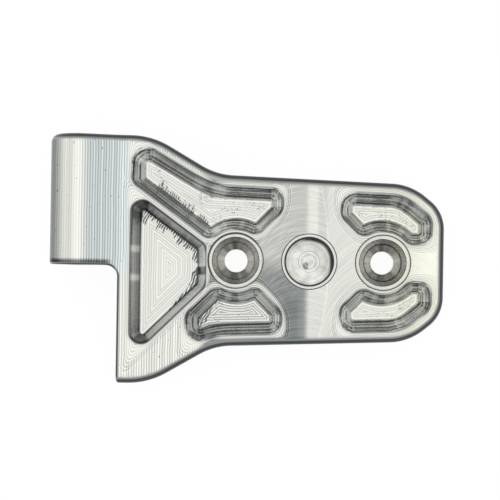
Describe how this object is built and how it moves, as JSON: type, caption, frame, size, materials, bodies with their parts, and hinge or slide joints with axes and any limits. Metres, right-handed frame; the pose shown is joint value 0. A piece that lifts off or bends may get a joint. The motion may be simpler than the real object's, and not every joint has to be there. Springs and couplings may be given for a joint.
{
  "type": "machined hinge leaf",
  "caption": "Milled aluminium hinge leaf: a bored knuckle beside a notch, a tapering plate with countersunk screw holes, a round recess and drafted lightening pockets.",
  "frame": {"origin": "midway between the two screw holes, on the flat mounting face", "axes": "+X along the line of the screw holes towards the rounded nose, +Y along the hinge pin, +Z out of the worked face"},
  "size_m": [0.153, 0.0962, 0.0215],
  "materials": {
    "machined_aluminium": "as machined, bright, with fine cutter marks"
  },
  "bodies": {
    "root": {"hinge_leaf": "machined_aluminium"}
  },
  "joints": []
}
